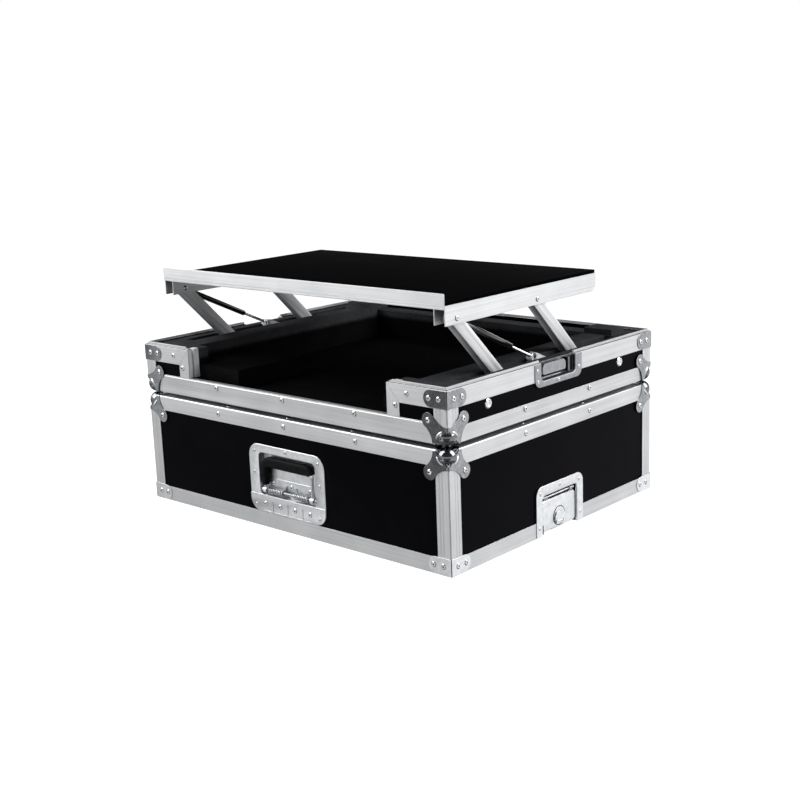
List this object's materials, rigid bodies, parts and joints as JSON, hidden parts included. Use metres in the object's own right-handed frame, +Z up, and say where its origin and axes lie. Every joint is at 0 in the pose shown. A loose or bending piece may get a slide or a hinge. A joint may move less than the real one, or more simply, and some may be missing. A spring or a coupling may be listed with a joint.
{
  "type": "dj controller flight case",
  "caption": "Black panelled flight case with metal edges and ball corners, open foam-lined tray on its upturned lid, and a laptop shelf on swinging arms with gas struts.",
  "frame": {"origin": "centre of the footprint, on the ground", "axes": "+X to the right seen from the front, +Y from the front cut-out to the rear, +Z up"},
  "size_m": [0.7068, 0.5616, 0.4193],
  "materials": {
    "laminate": "black hexagon-embossed laminate on plywood",
    "aluminium_extrusion": "satin anodised",
    "zinc_plated_steel": "bright zinc plate",
    "spring_steel": "plated wire",
    "black_rubber": "matt moulded",
    "black_board": "black film-faced plywood",
    "black_foam": "closed-cell foam",
    "black_painted_steel": "semi-gloss black",
    "chromed_rod": "ground and plated"
  },
  "bodies": {
    "lid": {"lid_front_panel": "laminate", "lid_rear_panel": "laminate", "lid_panel_right": "laminate", "lid_panel_left": "laminate", "lid_top_panel": "laminate", "lid_top_frame": "aluminium_extrusion", "lid_rim_front": "aluminium_extrusion", "lid_rim_rear": "aluminium_extrusion", "lid_ball_corner_front_left": "zinc_plated_steel", "lid_ball_corner_front_right": "zinc_plated_steel", "lid_ball_corner_rear_right": "zinc_plated_steel", "lid_ball_corner_rear_left": "zinc_plated_steel", "handle_dish": "zinc_plated_steel", "handle_hinge_plate": "zinc_plated_steel", "handle_axle": "spring_steel", "handle_spring_right": "spring_steel", "handle_spring_left": "spring_steel", "latch_dish_right": "zinc_plated_steel", "latch_dish_left": "zinc_plated_steel"},
    "handle": {"handle_bail": "spring_steel", "handle_grip": "black_rubber"},
    "latch_turn_right": {"latch_spindle_right": "zinc_plated_steel"},
    "latch_turn_left": {"latch_spindle_left": "zinc_plated_steel"},
    "latch_wing_right": {"latch_wing_right": "zinc_plated_steel"},
    "latch_wing_left": {"latch_wing_left": "zinc_plated_steel"},
    "latch_hook_right": {"latch_hook_right": "zinc_plated_steel"},
    "latch_hook_left": {"latch_hook_left": "zinc_plated_steel"},
    "tray": {"tray_floor": "laminate", "tray_front_panel": "laminate", "tray_rear_panel": "laminate", "tray_panel_right": "laminate", "tray_panel_left": "laminate", "tray_bottom_frame": "aluminium_extrusion", "tray_rim_front_right": "aluminium_extrusion", "tray_rim_front_left": "aluminium_extrusion", "tray_rim_rear": "aluminium_extrusion", "tray_ball_corner_front_left": "zinc_plated_steel", "tray_ball_corner_front_right": "zinc_plated_steel", "tray_ball_corner_rear_right": "zinc_plated_steel", "tray_ball_corner_rear_left": "zinc_plated_steel", "catch_dish_right": "zinc_plated_steel", "catch_dish_left": "zinc_plated_steel", "arm_rail_right": "aluminium_extrusion", "arm_rail_left": "aluminium_extrusion", "foam_floor": "black_foam", "foam_right": "black_foam", "foam_left": "black_foam"},
    "arm_front_right": {"arm_front_right": "aluminium_extrusion"},
    "arm_front_left": {"arm_front_left": "aluminium_extrusion"},
    "arm_rear_right": {"arm_rear_right": "aluminium_extrusion"},
    "arm_rear_left": {"arm_rear_left": "aluminium_extrusion"},
    "shelf": {"shelf_board": "black_board", "shelf_front_lip": "aluminium_extrusion", "shelf_channel_right": "aluminium_extrusion", "shelf_channel_left": "aluminium_extrusion"},
    "strut_rod_right": {"strut_rod_right": "chromed_rod"},
    "strut_rod_left": {"strut_rod_left": "chromed_rod"},
    "strut_tube_right": {"strut_tube_right": "black_painted_steel"},
    "strut_tube_left": {"strut_tube_left": "black_painted_steel"}
  },
  "joints": [
    {"name": "tray_lift", "type": "slide", "parent": "lid", "child": "tray", "axis": [0, 0, 1], "range_m": [0, 0.2]},
    {"name": "handle_swing", "type": "hinge", "parent": "lid", "child": "handle", "pos_m": [0, -0.2725, 0.0643], "axis": [1, 0, 0], "range_deg": [0, 90], "stiffness_Nm_per_rad": 0.12, "springref_deg": -17.19},
    {"name": "latch_twist_right", "type": "hinge", "parent": "lid", "child": "latch_turn_right", "pos_m": [0.35, 0, 0.023], "axis": [1, 0, 0], "range_deg": [0, 180]},
    {"name": "latch_wing_fold_right", "type": "hinge", "parent": "latch_turn_right", "child": "latch_wing_right", "pos_m": [0.3506, 0, 0.0145], "axis": [0, 1, 0], "range_deg": [0, 90]},
    {"name": "latch_hook_travel_right", "type": "slide", "parent": "lid", "child": "latch_hook_right", "axis": [0, 0, 1], "range_m": [0, 0.009]},
    {"name": "latch_twist_left", "type": "hinge", "parent": "lid", "child": "latch_turn_left", "pos_m": [-0.35, 0, 0.023], "axis": [-1, 0, 0], "range_deg": [0, 180]},
    {"name": "latch_wing_fold_left", "type": "hinge", "parent": "latch_turn_left", "child": "latch_wing_left", "pos_m": [-0.3506, 0, 0.0145], "axis": [0, -1, 0], "range_deg": [0, 90]},
    {"name": "latch_hook_travel_left", "type": "slide", "parent": "lid", "child": "latch_hook_left", "axis": [0, 0, 1], "range_m": [0, 0.009]},
    {"name": "arm_swing_front_right", "type": "hinge", "parent": "tray", "child": "arm_front_right", "pos_m": [0.312, -0.0845, 0.248], "axis": [-1, 0, 0], "range_deg": [0, 38]},
    {"name": "arm_swing_front_left", "type": "hinge", "parent": "tray", "child": "arm_front_left", "pos_m": [-0.312, -0.0845, 0.248], "axis": [-1, 0, 0], "range_deg": [0, 38]},
    {"name": "arm_swing_rear_right", "type": "hinge", "parent": "tray", "child": "arm_rear_right", "pos_m": [0.312, 0.1155, 0.248], "axis": [-1, 0, 0], "range_deg": [0, 38]},
    {"name": "arm_swing_rear_left", "type": "hinge", "parent": "tray", "child": "arm_rear_left", "pos_m": [-0.312, 0.1155, 0.248], "axis": [-1, 0, 0], "range_deg": [0, 38]},
    {"name": "shelf_pivot", "type": "hinge", "parent": "arm_front_right", "child": "shelf", "pos_m": [0.312, -0.21652, 0.38002], "axis": [-1, 0, 0], "range_deg": [-38, 0]},
    {"name": "strut_rod_swing_right", "type": "hinge", "parent": "tray", "child": "strut_rod_right", "pos_m": [0.312, -0.0195, 0.287], "axis": [-1, 0, 0], "range_deg": [0, 34]},
    {"name": "strut_stroke_right", "type": "slide", "parent": "strut_rod_right", "child": "strut_tube_right", "axis": [0, -0.9043, 0.4269], "range_m": [-0.048, 0]},
    {"name": "strut_rod_swing_left", "type": "hinge", "parent": "tray", "child": "strut_rod_left", "pos_m": [-0.312, -0.0195, 0.287], "axis": [-1, 0, 0], "range_deg": [0, 34]},
    {"name": "strut_stroke_left", "type": "slide", "parent": "strut_rod_left", "child": "strut_tube_left", "axis": [0, -0.9043, 0.4269], "range_m": [-0.048, 0]}
  ],
  "couplings": [
    {"joint": "latch_hook_travel_right", "follows": "latch_twist_right", "m_per_rad": 0.00286},
    {"joint": "latch_hook_travel_left", "follows": "latch_twist_left", "m_per_rad": 0.00286},
    {"joint": "arm_swing_front_left", "follows": "arm_swing_front_right", "ratio": 1},
    {"joint": "arm_swing_rear_right", "follows": "arm_swing_front_right", "ratio": 1},
    {"joint": "arm_swing_rear_left", "follows": "arm_swing_front_right", "ratio": 1},
    {"joint": "shelf_pivot", "follows": "arm_swing_front_right", "ratio": -1},
    {"joint": "strut_rod_swing_right", "follows": "arm_swing_front_right", "ratio": 0.8887},
    {"joint": "strut_rod_swing_left", "follows": "arm_swing_front_right", "ratio": 0.8887},
    {"joint": "strut_stroke_right", "follows": "arm_swing_front_right", "m_per_rad": -0.07126},
    {"joint": "strut_stroke_left", "follows": "arm_swing_front_right", "m_per_rad": -0.07126}
  ]
}
